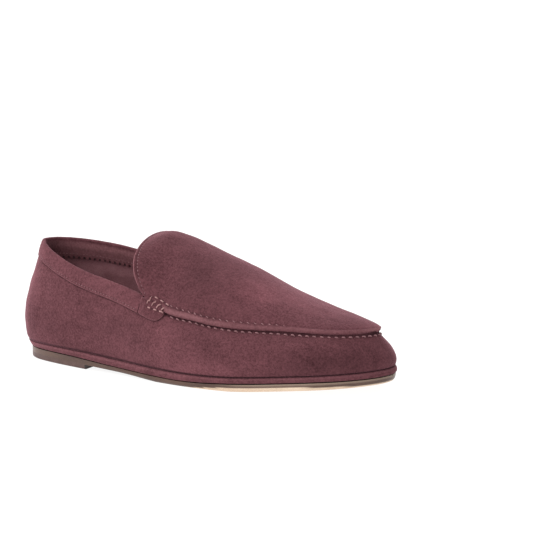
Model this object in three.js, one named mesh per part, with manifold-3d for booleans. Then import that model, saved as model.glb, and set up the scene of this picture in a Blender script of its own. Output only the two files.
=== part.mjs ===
// Slip-on suede loafer with a raised apron, right foot, in millimetres.
// +X points to the toe, +Y to the inner side of the foot, +Z up. The shoe stands on Z = 0.
// The upper is modelled on the surface of its last: a side wall that runs round the foot from the back
// seam, and an apron that spans the instep and ends in the tongue. Every leather layer is a sheet at its
// own distance from that surface, and every layer of the bottom is a slab inside the outline of the foot.

import * as THREE from "three";
import { mergeVertices } from "three/addons/utils/BufferGeometryUtils.js";
import Module from "manifold-3d";

const wasm = await Module();
wasm.setup();

// ---------- Driving dimensions ----------

const GAP = 0.35; // air left between neighbouring pieces
const SUEDE = 1.3; // thickness of the wall and apron leather
const LINING = 0.7;
const STIFFENER = 0.8; // heel counter and toe puff
const BINDING = 0.8;
const LASTING_MARGIN = 12; // how far the wall is turned in under the insole board
const RAND_HEIGHT = 4.4;
const RAND_PROUD = 1.4; // how far the rand stands outside the wall
const SOLE_FRONT = 4.2; // outsole thickness under the ball of the foot
const SOLE_BACK = 3.2; // outsole thickness at the waist and heel
const HEEL_LIFT = 1.7;
const INSOLE = 2;
const SOCK = 0.8;
const HEEL_PAD = 2;
const HEEL_TUCK = 3.1; // how far the heel and outsole stand in from the outline behind the waist
const STITCH_RADIUS = 0.3;
const MOCCASIN_STITCH_RADIUS = 0.45;

// Stations along the foot, heel back to toe tip. x, outer and inner give the outline where the upper
// meets the rand; feather is its height above the ground. The wall rises by rise (outer, inner side) and
// its top edge leans in by lean (outer, inner side). low and high are how far it swells out below and above
// mid height.
const STATIONS = [
  { x: -7.3, outer: 0, inner: 0, feather: 12.3, rise: [70.2, 70.2], lean: [12.6, 12.6], low: 9, high: -8.9 },
  { x: 8, outer: 23, inner: 29.4, feather: 12.4, rise: [70.4, 69.2], lean: [10.4, 10.4], low: 6.8, high: -5.6 },
  { x: 52.5, outer: 32.3, inner: 35.3, feather: 12.5, rise: [53.9, 65.8], lean: [4.2, 5.7], low: 6, high: 2 },
  { x: 95, outer: 38.8, inner: 34.5, feather: 10.1, rise: [51.2, 59.3], lean: [5.6, 5.4], low: 6, high: 4 },
  { x: 138.5, outer: 50, inner: 35.3, feather: 8.4, rise: [37.6, 41], lean: [6, 6], low: 7, high: 5 },
  { x: 181, outer: 52, inner: 45, feather: 8.7, rise: [31.8, 34.2], lean: [8, 8], low: 7, high: 5 },
  { x: 218.5, outer: 43.8, inner: 49, feather: 11.9, rise: [29.2, 29], lean: [11.9, 11.9], low: 7, high: 4 },
  { x: 256, outer: 36.6, inner: 36.6, feather: 15, rise: [23.9, 20.6], lean: [12.4, 12.8], low: 4.5, high: -3 },
  { x: 288, outer: -6.6, inner: 6.6, feather: 15.9, rise: [23.1, 23.1], lean: [8.5, 8.5], low: 3.5, high: -8.6 },
];

// Cross sections of the apron from the tongue's free edge to the toe. turn is where the section meets the
// wall's top edge; its crown stands at back (behind that place), across (towards the inner side) and height;
// full says how upright it starts.
const CORNER = 0.215;
const APRON = [
  { turn: CORNER, back: 17.3, across: 0, height: 91.6, full: 2 },
  { turn: 0.24, back: 14, across: 0, height: 92.9, full: 0.62 },
  { turn: 0.29, back: 5.6, across: 0, height: 76.8, full: 0.99 },
  { turn: 0.336, back: -3.3, across: 1.3, height: 60.3, full: 0.82 },
  { turn: 0.385, back: -8, across: 3.1, height: 50, full: 0.65 },
  { turn: 0.432, back: -2.8, across: 4.4, height: 46, full: 0.535 },
];

// ---------- Splines ----------

// A closed ring of rows of numbers, as a uniform cubic B-spline. turn runs from 0 to 1.
function closedSpline(rows, turn) {
  const place = (((turn % 1) + 1) % 1) * rows.length;
  const first = Math.floor(place);
  const t = place - first;
  const weights = [(1 - t) ** 3, 3 * t ** 3 - 6 * t ** 2 + 4, -3 * t ** 3 + 3 * t ** 2 + 3 * t + 1, t ** 3];
  const near = weights.map((_, k) => rows[(first - 1 + k + rows.length) % rows.length]);
  return rows[0].map((_, column) => weights.reduce((sum, w, k) => sum + (w * near[k][column]) / 6, 0));
}

// Rows of numbers from first to last, as a Catmull-Rom spline. share runs from 0 to 1.
function openSpline(rows, share) {
  const spans = rows.length - 1;
  const first = Math.min(Math.floor(share * spans), spans - 1);
  const t = share * spans - first;
  const beyond = (a, b) => a.map((value, k) => 2 * value - b[k]);
  const before = first > 0 ? rows[first - 1] : beyond(rows[0], rows[1]);
  const after = first < spans - 1 ? rows[first + 2] : beyond(rows[spans], rows[spans - 1]);
  const [b, c] = [rows[first], rows[first + 1]];
  return b.map((value, k) => {
    const slope = c[k] - before[k];
    const bend = 2 * before[k] - 5 * value + 4 * c[k] - after[k];
    return 0.5 * (2 * value + slope * t + bend * t ** 2 + (3 * value - before[k] - 3 * c[k] + after[k]) * t ** 3);
  });
}

const mix = (a, b, t) => a + (b - a) * t;
const smooth = (from, to, value) => THREE.MathUtils.smoothstep(value, from, to);
const steps = (from, to, count) => Array.from({ length: count + 1 }, (_, k) => from + ((to - from) * k) / count);

// ---------- The last ----------

const sideRow = (s, sign, side) => [
  s.x, sign * (sign < 0 ? s.outer : s.inner), s.feather, s.rise[side], s.lean[side], s.low, s.high,
];
const OUTLINE = [
  ...STATIONS.map((s) => sideRow(s, -1, 0)),
  ...STATIONS.slice(1, -1).reverse().map((s) => sideRow(s, 1, 1)),
];

// The outline at a turn: 0 at the back seam, then along the outer side, 0.5 at the toe, and back along the
// inner side.
function outlineAt(turn) {
  const [x, y, feather, rise, lean, low, high] = closedSpline(OUTLINE, turn);
  const ahead = closedSpline(OUTLINE, turn + 1e-4);
  const behind = closedSpline(OUTLINE, turn - 1e-4);
  const along = new THREE.Vector2(ahead[0] - behind[0], ahead[1] - behind[1]).normalize();
  return { x, y, out: new THREE.Vector2(along.y, -along.x), feather, rise, lean, low, high };
}

// Height of the feather line at a place x along the foot.
function feather(x) {
  let [behind, ahead] = [0, 0.5];
  for (let k = 0; k < 24; k++) {
    const turn = (behind + ahead) / 2;
    if (closedSpline(OUTLINE, turn)[0] < x) behind = turn;
    else ahead = turn;
  }
  return closedSpline(OUTLINE, behind)[2];
}

const above = (height) => (x) => feather(x) + height;

// A point out mm outside the outline, at the height that height(x) gives for its place along the foot.
function outlinePoint(turn, out, height) {
  const at = outlineAt(turn);
  const x = at.x + at.out.x * out;
  return new THREE.Vector3(x, at.y + at.out.y * out, height(x));
}

// A point on the side wall. up runs from 0 at the feather line to 1 at the top edge, off is the distance
// outside the last, and past goes on beyond the top edge.
function wallPoint(turn, up, off, past = 0) {
  const at = outlineAt(turn);
  const down = 1 - up;
  const [b, c, d] = [3 * down ** 2 * up, 3 * down * up ** 2, up ** 3];
  const [db, dc, dd] = [3 * down * (down - 2 * up), 3 * up * (2 * down - up), 3 * up ** 2];
  const slope = new THREE.Vector2(
    db * at.low + dc * at.high - dd * at.lean,
    at.rise * (db * 0.36 + dc * 0.74 + dd),
  ).normalize();
  const out = b * at.low + c * at.high - d * at.lean + off * slope.y + past * slope.x;
  const z = at.feather + at.rise * (b * 0.36 + c * 0.74 + d) - off * slope.x + past * slope.y;
  return new THREE.Vector3(at.x + at.out.x * out, at.y + at.out.y * out, z);
}

// The height up the wall that lies depth mm below its top edge.
const below = (turn, depth) => 1 - depth / outlineAt(turn).rise;

const APRON_LIP = 1.3; // how far the apron's edge stands outside the wall
const APRON_ROWS = APRON.map((row) => [row.turn, row.back, row.across, row.height, row.full]);
const tip = wallPoint(0.5, 1, 0);
APRON_ROWS.push([0.5, 0, tip.y, tip.z + GAP, 0.5]);

// The wall's top edge, where the apron sits on it.
const apronEdge = (turn) => wallPoint(turn, 1, APRON_LIP).add(new THREE.Vector3(0, 0, GAP));

// A point on the apron's underside. along runs from the tongue's free edge to the toe, across from the outer
// edge to the inner one.
function apronBase(along, across) {
  const [turn, back, y, z, full] = openSpline(APRON_ROWS, along);
  const outer = apronEdge(turn);
  const inner = apronEdge(1 - turn);
  const crown = new THREE.Vector3((outer.x + inner.x) / 2 - back, y, z);
  const middle = crown.multiplyScalar(8).sub(outer).sub(inner).divideScalar(6);
  const reach = outer.clone().sub(inner).multiplyScalar(full / 2);
  return new THREE.CubicBezierCurve3(outer, middle.clone().add(reach), middle.clone().sub(reach), inner)
    .getPoint(across);
}

function apronPoint(along, across, off) {
  const step = 1e-3;
  const [a0, a1] = [Math.max(along - step, 0), Math.min(along + step, 0.985)];
  const [c0, c1] = [Math.max(across - step, 0), Math.min(across + step, 1)];
  const forward = apronBase(a1, across).sub(apronBase(a0, across));
  const inward = apronBase(along, c1).sub(apronBase(along, c0));
  const normal = forward.cross(inward).normalize();
  return apronBase(along, across).addScaledVector(normal, off);
}

// ---------- Solids ----------

// A closed body from corners and triangles, its faces turned outwards.
function body(corners, triangles) {
  const volume = triangles.reduce((sum, [a, b, c]) => {
    return sum + corners[a].dot(new THREE.Vector3().crossVectors(corners[b], corners[c]));
  }, 0);
  const faces = volume < 0 ? triangles.map(([a, b, c]) => [a, c, b]) : triangles;
  const geometry = new THREE.BufferGeometry().setFromPoints(corners);
  geometry.setIndex(faces.flat());
  return geometry;
}

// Two matching sheets of points, joined along every open edge.
function thicken(outside, inside, triangles) {
  const open = new Map();
  for (const [a, b, c] of triangles) {
    for (const [from, to] of [[a, b], [b, c], [c, a]]) {
      if (!open.delete(`${to} ${from}`)) open.set(`${from} ${to}`, [from, to]);
    }
  }
  const n = outside.length;
  const back = triangles.map(([a, b, c]) => [c + n, b + n, a + n]);
  const walls = [...open.values()].flatMap(([from, to]) => [[to, from, from + n], [to, from + n, to + n]]);
  return body([...outside, ...inside], [...triangles, ...back, ...walls]);
}

// The triangles of a sheet of rows, with an optional single point before the first row and after the last.
function sheetTriangles(rows, columns, startPoint, endPoint) {
  const triangles = [];
  const at = (row, column) => row * columns + column;
  for (let row = 0; row < rows - 1; row++) {
    for (let column = 0; column < columns - 1; column++) {
      triangles.push([at(row, column), at(row + 1, column), at(row + 1, column + 1)]);
      triangles.push([at(row, column), at(row + 1, column + 1), at(row, column + 1)]);
    }
  }
  let extra = rows * columns;
  if (startPoint) {
    for (let column = 0; column < columns - 1; column++) triangles.push([extra, at(0, column), at(0, column + 1)]);
    extra += 1;
  }
  if (endPoint) {
    for (let column = 0; column < columns - 1; column++) {
      triangles.push([extra, at(rows - 1, column + 1), at(rows - 1, column)]);
    }
  }
  return triangles;
}

// A sheet of leather on a surface: point(row, column, off), between the distances off[0] and off[1].
function leather(point, rows, columns, [inner, outer], end) {
  const sheet = (off) => [
    ...rows.flatMap((row) => columns.map((column) => point(row, column, off))),
    ...(end ? [end(off)] : []),
  ];
  return thicken(sheet(outer), sheet(inner), sheetTriangles(rows.length, columns.length, false, Boolean(end)));
}

// A slab inside the outline, from one turn on the outer side to another, and the same on the inner side.
// top and bottom are each {inset(turn), height(x)}. A slab that reaches turn 0 or 0.5 closes round the end.
function slab(from, to, top, bottom) {
  const across = 2;
  const endRow = 0.012; // how far from a round end the last full row lies
  const turns = between(from === 0 ? endRow : from, to === 0.5 ? 0.5 - endRow : to);
  const layer = (shape) => {
    const point = (turn) => outlinePoint(turn, -shape.inset(turn), shape.height);
    return [
      ...turns.flatMap((turn) => steps(0, 1, across).map((share) => point(turn).lerp(point(-turn), share))),
      ...(from === 0 ? [point(0)] : []),
      ...(to === 0.5 ? [point(0.5)] : []),
    ];
  };
  return thicken(layer(top), layer(bottom), sheetTriangles(turns.length, across + 1, from === 0, to === 0.5));
}

// A closed section carried round a list of rings of points. An open sweep is capped with the flat section.
function sweep(rings, section) {
  const n = rings[0].length;
  const triangles = [];
  const last = section ? rings.length - 1 : rings.length;
  for (let ring = 0; ring < last; ring++) {
    const next = (ring + 1) % rings.length;
    for (let k = 0; k < n; k++) {
      const [a, b] = [ring * n + k, ring * n + ((k + 1) % n)];
      const [c, d] = [next * n + k, next * n + ((k + 1) % n)];
      triangles.push([a, b, d], [a, d, c]);
    }
  }
  if (section) {
    const ends = THREE.ShapeUtils.triangulateShape(section, []);
    const far = (rings.length - 1) * n;
    triangles.push(...ends.map(([a, b, c]) => [c, b, a]), ...ends.map(([a, b, c]) => [a + far, b + far, c + far]));
  }
  return body(rings.flat(), triangles);
}

// A thread laid along points.
function thread(points, radius, count) {
  const sides = 4;
  const section = new THREE.Shape(
    steps(0, sides - 1, sides - 1).map((k) => {
      const angle = (2 * Math.PI * k) / sides;
      return new THREE.Vector2(radius * Math.cos(angle), radius * Math.sin(angle));
    }),
  );
  const path = new THREE.CatmullRomCurve3(points);
  return new THREE.ExtrudeGeometry(section, { extrudePath: path, steps: count, curveSegments: 1 });
}

function toSolid(geometry) {
  const bare = geometry.clone();
  bare.deleteAttribute("normal");
  bare.deleteAttribute("uv");
  const merged = mergeVertices(bare, 1e-3);
  const mesh = new wasm.Mesh({
    numProp: 3,
    vertProperties: merged.attributes.position.array,
    triVerts: new Uint32Array(merged.index.array),
  });
  return new wasm.Manifold(mesh);
}

function cut(geometry, tools) {
  const left = tools.reduce((solid, tool) => solid.subtract(toSolid(tool)), toSolid(geometry)).getMesh();
  const result = new THREE.BufferGeometry();
  result.setAttribute("position", new THREE.BufferAttribute(left.vertProperties, 3));
  result.setIndex(new THREE.BufferAttribute(left.triVerts, 1));
  return result;
}

// ---------- The pieces ----------

// Every layer is sampled at the same places, so that none cuts another.
const RING_COUNT = 68;
const RINGS = steps(0, 1, RING_COUNT);
const UPS = [0.12, 0.28, 0.44, 0.6, 0.73, 0.87];
const SHORTEST = 0.003; // the least turn between two rows
function between(from, to) {
  const rings = steps(-1, 1, 2 * RING_COUNT).filter((turn) => turn > from + SHORTEST && turn < to - SHORTEST);
  return [from, ...rings, to];
}

const COUNTER_TOP = 0.6; // how far up the wall the heel counter reaches
const COUNTER_FRONT = 0.12; // and how far round the heel, in turns
const LINING_OUT = -(SUEDE + GAP); // the lining lies against the wall at the topline
const LINING_LOW = LINING_OUT - STIFFENER - GAP; // and leaves room for the stiffeners lower down
const BINDING_DEPTH = 11.7; // how far the binding reaches down outside
const FACING_DEPTH = 16; // and inside

const suede = new THREE.MeshStandardMaterial({ color: 0x74464e, roughness: 0.95, metalness: 0 });
const liningLeather = new THREE.MeshStandardMaterial({ color: 0x5b3f42, roughness: 0.85, metalness: 0 });
const threadFinish = new THREE.MeshStandardMaterial({ color: 0xa97a7c, roughness: 0.7, metalness: 0 });
const soleLeather = new THREE.MeshStandardMaterial({ color: 0x4a3a33, roughness: 0.5, metalness: 0 });
const rubber = new THREE.MeshStandardMaterial({ color: 0x3d302b, roughness: 0.8, metalness: 0 });
const insoleBoard = new THREE.MeshStandardMaterial({ color: 0xb59a78, roughness: 0.9, metalness: 0 });
const cork = new THREE.MeshStandardMaterial({ color: 0x9a7350, roughness: 0.95, metalness: 0 });
const foam = new THREE.MeshStandardMaterial({ color: 0xd8cfbf, roughness: 0.95, metalness: 0 });
const steel = new THREE.MeshStandardMaterial({ color: 0x9a9da0, roughness: 0.35, metalness: 1 });
const stiffenerBoard = new THREE.MeshStandardMaterial({ color: 0xcabfae, roughness: 0.9, metalness: 0 });

const loafer = new THREE.Group();
function add(name, geometry, material) {
  const mesh = new THREE.Mesh(geometry, material);
  mesh.name = name;
  loafer.add(mesh);
}

// Side wall: one piece of suede from the back seam round the toe and back, its lower margin turned in.
function wall() {
  const seam = 0.0003;
  const margin = -1;
  const rows = [seam, ...RINGS.slice(1, -1), 1 - seam];
  const point = (turn, up, off) => {
    if (up > 0) return wallPoint(turn, up, off);
    return outlinePoint(turn, up === margin ? -LASTING_MARGIN : off, above(-off));
  };
  return leather(point, rows, [margin, 0, ...UPS, 1], [-SUEDE, 0]);
}

// Lining, closer to the wall above the heel counter and in front of it.
function liningPoint(turn, up, off) {
  const past = smooth(COUNTER_FRONT, COUNTER_FRONT + 0.05, Math.abs(turn));
  const clear = Math.max(smooth(COUNTER_TOP, UPS[4], up), past);
  return wallPoint(turn, up, mix(LINING_LOW, LINING_OUT, clear) + off);
}

function quarterLining() {
  return leather(liningPoint, between(-CORNER, CORNER), [0.06, ...UPS, 0.985], [-LINING, 0]);
}

function vampLining() {
  const gap = 0.001;
  const point = (turn, up, off) => wallPoint(turn, up, LINING_LOW + off);
  return leather(point, between(CORNER + gap, 1 - CORNER - gap), [0.06, ...UPS, 0.93], [-LINING, 0]);
}

function stiffener(from, to, ups) {
  const outside = -(SUEDE + GAP);
  return leather(wallPoint, between(from, to), ups, [outside - STIFFENER, outside]);
}

// Apron and tongue in one piece of suede.
function apron() {
  const rows = steps(0, 0.96, 24);
  const columns = steps(0, 1, 10);
  const end = (off) => apronEdge(0.5).add(new THREE.Vector3(off * 0.5, 0, off * 0.8));
  return leather(apronPoint, rows, columns, [0, SUEDE], end);
}

function apronLining() {
  const off = [-GAP - LINING, -GAP];
  return leather(apronPoint, [0.01, ...steps(0.04, 0.88, 21)], steps(0.1, 0.9, 8), off);
}

// Suede strip folded over the topline, from one corner of the apron round the heel to the other.
function binding() {
  const end = CORNER - 0.0065;
  const [outside, inside] = [GAP, LINING_OUT - LINING - GAP];
  const crest = GAP + BINDING + 0.15;
  // Corners of the folded strip's section: off, depth below the topline, and past the topline.
  const loop = [
    [outside + BINDING, BINDING_DEPTH, 0], [outside + BINDING, BINDING_DEPTH / 2, 0],
    [outside + BINDING, 0, 0], [outside, 0, crest], [inside, 0, crest], [inside - BINDING, 0, 0],
    [inside - BINDING, FACING_DEPTH / 2, 0], [inside - BINDING, FACING_DEPTH, 0], [inside, FACING_DEPTH, 0],
    [inside, FACING_DEPTH / 2, 0], [inside, 0, GAP], [outside, 0, GAP],
    [outside, BINDING_DEPTH / 2, 0], [outside, BINDING_DEPTH, 0],
  ];
  const rings = between(-end, end).map((turn) => {
    return loop.map(([off, depth, past]) => wallPoint(turn, below(turn, depth), off, past));
  });
  const flat = loop.map(([off, depth, past]) => new THREE.Vector2(off, past - depth));
  return sweep(rings, flat);
}

// Small rounded tab beside the end of the binding, under each corner of the apron.
const TAB = { start: -0.004, turns: 0.029, depth: 11.5, top: 0.965, drop: 0.93 };
function tab(side) {
  const point = (share, up, off) => {
    const turn = CORNER + TAB.start + TAB.turns * share;
    const hang = TAB.depth * (1 - TAB.drop * share ** 5) ** 0.6; // rounded toward the toe
    return wallPoint(side * turn, mix(below(turn, hang), TAB.top, up), off);
  };
  return leather(point, steps(0, 1, 6), steps(0, 1, 4), [2 * GAP, 2 * GAP + BINDING]);
}

// Threads lie on the leather as the visible run of each seam.
function threads() {
  const lift = GAP + STITCH_RADIUS;
  const bindingFace = GAP + BINDING;
  const rowDepth = BINDING_DEPTH - 1.6; // both rows pass through the two arms of the binding
  const bindingTurns = steps(-(CORNER - 0.009), CORNER - 0.009, 24);
  const outerRun = bindingTurns.map((turn) => wallPoint(turn, below(turn, rowDepth), bindingFace + lift));
  add("binding_thread_outer", thread(outerRun, STITCH_RADIUS, 44), threadFinish);
  const insideFace = LINING_OUT - LINING - GAP - BINDING;
  const innerRun = bindingTurns.map((turn) => wallPoint(turn, below(turn, rowDepth), insideFace - lift));
  add("binding_thread_inner", thread(innerRun, STITCH_RADIUS, 44), threadFinish);

  const tongueRun = steps(0.03, 0.97, 24).map((across) => apronPoint(0.045, across, SUEDE + lift));
  add("tongue_thread", thread(tongueRun, STITCH_RADIUS, 36), threadFinish);

  const outerEdge = steps(0.16, 0.9, 20).map((along) => [along, edgeShare(along)]);
  const innerEdge = outerEdge.map(([along, share]) => [along, 1 - share]).reverse();
  const toeEdge = [[0.94, 0.22], [0.96, 0.5], [0.94, 0.78]];
  const edgeRun = [...outerEdge, ...toeEdge, ...innerEdge].map(([along, across]) => {
    return apronPoint(along, across, SUEDE + lift);
  });
  add("apron_edge_thread", thread(edgeRun, STITCH_RADIUS, 70), threadFinish);

  const seamTurns = steps(CORNER + 0.031, 1 - CORNER - 0.031, 40);
  const seamRun = seamTurns.map((turn) => wallPoint(turn, below(turn, 1.9), GAP + MOCCASIN_STITCH_RADIUS));
  add("moccasin_thread", thread(seamRun, MOCCASIN_STITCH_RADIUS, 70), threadFinish);
}

// How far across the apron the sewing near its edge lies, 3 mm in from the edge.
function edgeShare(along) {
  const edge = apronBase(along, 0);
  const near = apronBase(along, 0.02);
  return (0.02 * 3) / Math.max(edge.distanceTo(near), 0.05);
}

// A dense whip stitch that ties the tab to the apron: a thread that crosses the seam to and fro.
function whipThread(side) {
  const crossings = 6;
  const points = steps(0, crossings, crossings).map((k) => {
    const turn = side * (CORNER + 0.004 + (0.019 * k) / crossings);
    const depth = k % 2 === 0 ? 2.2 : 5.4;
    return wallPoint(turn, below(turn, depth), 3 * GAP + BINDING + STITCH_RADIUS);
  });
  return thread(points, STITCH_RADIUS, 30);
}

// ---------- The bottom ----------

// Heights above the ground, each for a place x along the foot.
const RAND_BOTTOM = above(-GAP - RAND_HEIGHT);
const SOLE_TOP = above(-2 * GAP - RAND_HEIGHT);
const soleBottom = (x) => Math.max(SOLE_TOP(x) - mix(SOLE_BACK, SOLE_FRONT, smooth(95, 140, x)), 0);
const liftTop = (x) => soleBottom(x) - GAP;
const liftBottom = (x) => liftTop(x) - HEEL_LIFT;
const topPieceTop = (x) => liftBottom(x) - GAP;

// How far the bottom tucks in under the heel.
const tuck = (turn) => HEEL_TUCK * (1 - smooth(0.07, 0.17, Math.min(turn, 1 - turn)));
const level = (inset, height) => ({ inset: () => inset, height });
const tucked = (inset, height) => ({ inset: (turn) => inset + tuck(Math.abs(turn)), height });

// Suede-covered strip round the whole shoe, between the upper and the outsole.
function rand() {
  const rings = RINGS.slice(0, -1).map((turn) => {
    const proud = RAND_PROUD - 0.3 * tuck(turn);
    const foot = 0.4 - tuck(turn);
    const section = [
      [-7, 0], [0, 0], [proud, -1], [mix(proud, foot, 0.25), -3], [foot, -RAND_HEIGHT], [-7, -RAND_HEIGHT],
    ];
    return section.map(([out, down]) => outlinePoint(turn, out, above(down - GAP)));
  });
  return sweep(rings);
}

// Heel: a leather lift and a rubber top piece, with a straight front face.
const HEEL_FRONT = 0.138; // turn where that face crosses the outline
const outsole = slab(0, 0.5, tucked(-0.3, SOLE_TOP), tucked(0, soleBottom));
const heelLift = slab(0, HEEL_FRONT, tucked(0, liftTop), tucked(0.2, liftBottom));
const topPiece = slab(0, HEEL_FRONT, tucked(0.2, topPieceTop), tucked(0.6, () => 0));

// Nails driven up through the heel into the outsole. Each hole in the heel is a little wider than its nail.
const NAIL_PLACES = [[12, 1], [30, -17], [30, 19], [50, -20], [50, 20]];
function nail([x, y], grow) {
  const [shank, head, headHeight, bottom, top] = [0.8, 1.6, 0.8, 0.4, 6.2];
  const profile = [
    [0, bottom - 2 * grow], [head + grow, bottom - 2 * grow], [head + grow, bottom + headHeight + grow],
    [shank + grow, bottom + headHeight + 2 * grow], [shank + grow, top + grow], [0, top + grow],
  ];
  const turned = new THREE.LatheGeometry(profile.map(([r, z]) => new THREE.Vector2(r, z)), 8);
  return turned.rotateX(Math.PI / 2).translate(x, y, 0);
}
const nailHoles = NAIL_PLACES.map((place) => nail(place, GAP));

// Cork fills the space between the turned-in margins. A pocket in its top holds the steel shank.
const FILLER_INSET = LASTING_MARGIN + GAP;
const filler = slab(0, 0.5, level(FILLER_INSET, above(SUEDE - 0.1)), level(FILLER_INSET, RAND_BOTTOM));
const SHANK = { length: 105, width: 12, thickness: 1.4, x: 92, y: -1, z: 10.3, slope: 0.035 };
function bar(grow, open) {
  const { length, width, thickness, x, y, z, slope } = SHANK;
  const block = new THREE.BoxGeometry(length + 2 * grow, width + 2 * grow, thickness + 2 * grow + open);
  return block.translate(0, 0, open / 2).rotateY(slope).translate(x, y, z);
}

// The footbed inside the lining: board, foam heel pad and leather sock.
const BED_INSET = SUEDE + STIFFENER + LINING + 3 * GAP + 0.2;
const BOARD_BOTTOM = SUEDE + GAP;
const BOARD_TOP = BOARD_BOTTOM + INSOLE;
const PAD_BOTTOM = BOARD_TOP + GAP;
const PAD_FRONT = 0.14;
const board = slab(0, 0.5, level(BED_INSET, above(BOARD_TOP)), level(BED_INSET, above(BOARD_BOTTOM)));
const pad = slab(
  0, PAD_FRONT, level(BED_INSET + 1, above(PAD_BOTTOM + HEEL_PAD)), level(BED_INSET + 1, above(PAD_BOTTOM)),
);
const sockBottom = (x) => feather(x) + PAD_BOTTOM + (HEEL_PAD + GAP) * (1 - smooth(66, 90, x));
const sockTop = (x) => sockBottom(x) + SOCK;
const sock = slab(0, 0.5, level(BED_INSET - 0.6, sockTop), level(BED_INSET - 0.6, sockBottom));

// ---------- Assembly ----------

add("side_wall", wall(), suede);
add("apron", apron(), suede);
add("topline_binding", binding(), suede);
add("outer_tab", tab(1), suede);
add("inner_tab", tab(-1), suede);
add("quarter_lining", quarterLining(), liningLeather);
add("vamp_lining", vampLining(), liningLeather);
add("apron_lining", apronLining(), liningLeather);
add("heel_counter", stiffener(-COUNTER_FRONT, COUNTER_FRONT, UPS.slice(0, 4)), stiffenerBoard);
add("toe_puff", stiffener(0.43, 0.57, UPS), stiffenerBoard);
threads();
add("outer_whip_thread", whipThread(1), threadFinish);
add("inner_whip_thread", whipThread(-1), threadFinish);
add("rand", rand(), suede);
add("outsole", cut(outsole, nailHoles), soleLeather);
add("heel_lift", cut(heelLift, nailHoles), soleLeather);
add("heel_top_piece", cut(topPiece, nailHoles), rubber);
NAIL_PLACES.forEach((place, k) => add(`heel_nail_${k + 1}`, nail(place, 0), steel));
add("bottom_filler", cut(filler, [bar(GAP, 6)]), cork);
add("shank", bar(0, 0), steel);
add("insole_board", board, insoleBoard);
add("heel_pad", pad, foam);
add("sock_lining", sock, liningLeather);

// The origin is on the ground below the middle of the shoe.
const box = new THREE.Box3().setFromObject(loafer);
const middle = box.getCenter(new THREE.Vector3());
loafer.position.set(-middle.x, -middle.y, -box.min.z);

export default loafer;
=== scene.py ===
import math

import bpy
import numpy as np
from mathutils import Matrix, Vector


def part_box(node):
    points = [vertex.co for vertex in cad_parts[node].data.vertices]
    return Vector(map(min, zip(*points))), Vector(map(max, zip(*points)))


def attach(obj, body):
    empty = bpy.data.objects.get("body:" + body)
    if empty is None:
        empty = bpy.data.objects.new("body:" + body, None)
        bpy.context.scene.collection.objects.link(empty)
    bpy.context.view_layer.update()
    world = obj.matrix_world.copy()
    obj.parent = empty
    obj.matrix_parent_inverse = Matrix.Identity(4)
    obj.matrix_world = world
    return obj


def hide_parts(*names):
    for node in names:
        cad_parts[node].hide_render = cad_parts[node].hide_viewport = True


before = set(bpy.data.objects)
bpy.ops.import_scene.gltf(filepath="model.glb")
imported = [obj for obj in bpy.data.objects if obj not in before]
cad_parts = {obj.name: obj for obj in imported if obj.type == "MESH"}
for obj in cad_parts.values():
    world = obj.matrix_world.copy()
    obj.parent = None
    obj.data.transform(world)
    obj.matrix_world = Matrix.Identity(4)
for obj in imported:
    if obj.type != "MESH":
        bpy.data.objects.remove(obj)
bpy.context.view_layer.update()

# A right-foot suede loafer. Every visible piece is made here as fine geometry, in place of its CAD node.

# ---------- Dimensions of the shoe, in millimetres ----------

MM = 0.001
GAP = 0.35  # air between neighbouring pieces
SUEDE = 1.3
LINING = 0.7
STIFFENER = 0.8
BINDING = 0.8
BINDING_DEPTH = 11.7  # how far the binding reaches down outside
FACING_DEPTH = 16  # and inside
RAND_HEIGHT = 4.4
RAND_PROUD = 1.4  # how far the rand bulges out
SOLE_FRONT = 4.2
SOLE_BACK = 3.2
HEEL_LIFT = 1.7
HEEL_TUCK = 3.1  # how much smaller the bottom is round the heel than the upper
INSOLE = 2
HEEL_PAD = 2
SOCK = 0.8
CORNER = 0.215  # turn at which the apron's corners meet the topline
APRON_LIP = 1.3  # how far the apron's edge stands outside the wall
HEEL_FRONT = 0.138  # turn at which the heel ends on either side
OUTLINE_LENGTH = 700  # about; it spaces what lies along the outline
WALL_INSIDE = -(SUEDE + GAP)  # where the layers inside the side wall begin
BINDING_INSIDE = WALL_INSIDE - LINING - 0.2  # where the binding begins inside the lining

# Stations along the foot: x, outer, inner, feather, rise outer and inner, lean outer and inner, low, high.
STATIONS = (
    (-7.3, 0, 0, 12.3, 70.2, 70.2, 12.6, 12.6, 9, -8.9),
    (8, 23, 29.4, 12.4, 70.4, 69.2, 10.4, 10.4, 6.8, -5.6),
    (52.5, 32.3, 35.3, 12.5, 53.9, 65.8, 4.2, 5.7, 6, 2),
    (95, 38.8, 34.5, 10.1, 51.2, 59.3, 5.6, 5.4, 6, 4),
    (138.5, 50, 35.3, 8.4, 37.6, 41, 6, 6, 7, 5),
    (181, 52, 45, 8.7, 31.8, 34.2, 8, 8, 7, 5),
    (218.5, 43.8, 49, 11.9, 29.2, 29, 11.9, 11.9, 7, 4),
    (256, 36.6, 36.6, 15, 23.9, 20.6, 12.4, 12.8, 4.5, -3),
    (288, -6.6, 6.6, 15.9, 23.1, 23.1, 8.5, 8.5, 3.5, -8.6),
)
# Sections of the apron: turn, back, across, height, full.
APRON = (
    (CORNER, 17.3, 0, 91.6, 2),
    (0.24, 14, 0, 92.9, 0.62),
    (0.29, 5.6, 0, 76.8, 0.99),
    (0.336, -3.3, 1.3, 60.3, 0.82),
    (0.385, -8, 3.1, 50, 0.65),
    (0.432, -2.8, 4.4, 46, 0.535),
)

# The CAD origin is below the middle of the shoe. The steel shank's middle is at x 92, y -1 on the last.
SHANK_PLACE = np.array([92, -1])
SHANK_BOX = np.array(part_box("shank")) / MM
SHIFT = np.array([*(SHANK_BOX.mean(0)[:2] - SHANK_PLACE), 0])


# ---------- The surface of the last ----------

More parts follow.
